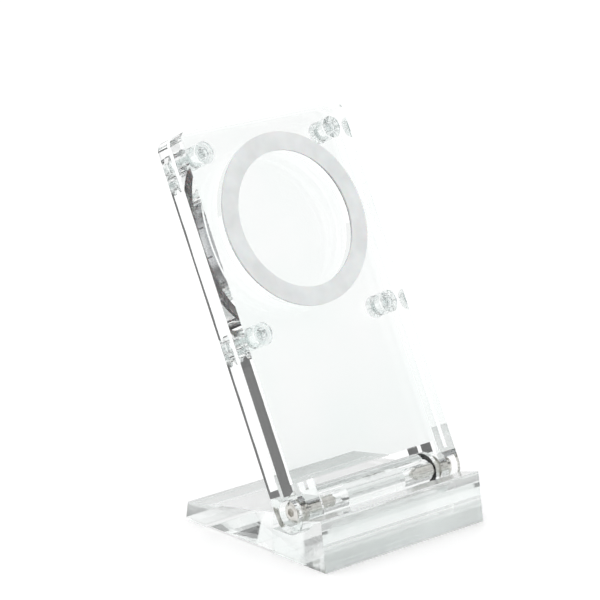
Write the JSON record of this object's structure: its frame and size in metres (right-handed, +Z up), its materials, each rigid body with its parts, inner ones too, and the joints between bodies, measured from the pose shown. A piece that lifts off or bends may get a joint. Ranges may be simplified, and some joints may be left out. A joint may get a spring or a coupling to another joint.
{
  "type": "phone stand",
  "caption": "Clear acrylic desk stand: a low wedge base with a front lip, and a two-sheet arm that reclines on pivot screws and holds a phone by a magnetic ring.",
  "frame": {"origin": "on the surface the stand rests on, halfway along its width, halfway between the base's front edge and the arm's rearmost edge at rest", "axes": "+Z up, +Y to the back (the side away from the phone), +X to the right seen from the front"},
  "size_m": [0.0672, 0.0768, 0.1241],
  "materials": {
    "base_acrylic": "clear, polished cast acrylic",
    "arm_acrylic": "clear, polished cast acrylic",
    "clear_strip": "clear soft anti-slip film",
    "stainless_steel": "turned stainless steel",
    "washer_steel": "pressed spring steel",
    "nickel_magnet": "nickel-plated neodymium, satin",
    "shield_steel": "plated mild steel",
    "grip_silicone": "matte soft-touch silicone",
    "binding_plastic": "clear moulded polycarbonate"
  },
  "bodies": {
    "base": {"front_block": "base_acrylic", "rear_wedge": "base_acrylic", "front_foot_strip": "clear_strip", "rear_foot_strip": "clear_strip", "pivot_screw_left": "stainless_steel", "pivot_screw_right": "stainless_steel", "head_washer_left": "stainless_steel", "head_washer_right": "stainless_steel", "friction_washer_left": "washer_steel", "friction_washer_right": "washer_steel"},
    "arm": {"arm_front_sheet": "arm_acrylic", "arm_rear_sheet": "arm_acrylic", "barrel_shim_left": "arm_acrylic", "barrel_shim_right": "arm_acrylic", "magnet_array": "nickel_magnet", "shield_ring": "shield_steel", "grip_pad": "grip_silicone", "binding_post_lower_left": "binding_plastic", "binding_post_lower_right": "binding_plastic", "binding_post_upper_left": "binding_plastic", "binding_post_upper_right": "binding_plastic", "binding_screw_lower_left": "binding_plastic", "binding_screw_lower_right": "binding_plastic", "binding_screw_upper_left": "binding_plastic", "binding_screw_upper_right": "binding_plastic", "sheet_spacer_lower_left": "binding_plastic", "sheet_spacer_lower_right": "binding_plastic", "sheet_spacer_upper_left": "binding_plastic", "sheet_spacer_upper_right": "binding_plastic"}
  },
  "joints": [
    {"name": "arm_tilt", "type": "hinge", "parent": "base", "child": "arm", "pos_m": [0, -0.02191, 0.0147], "axis": [-1, 0, 0], "range_deg": [-50, 15]}
  ]
}
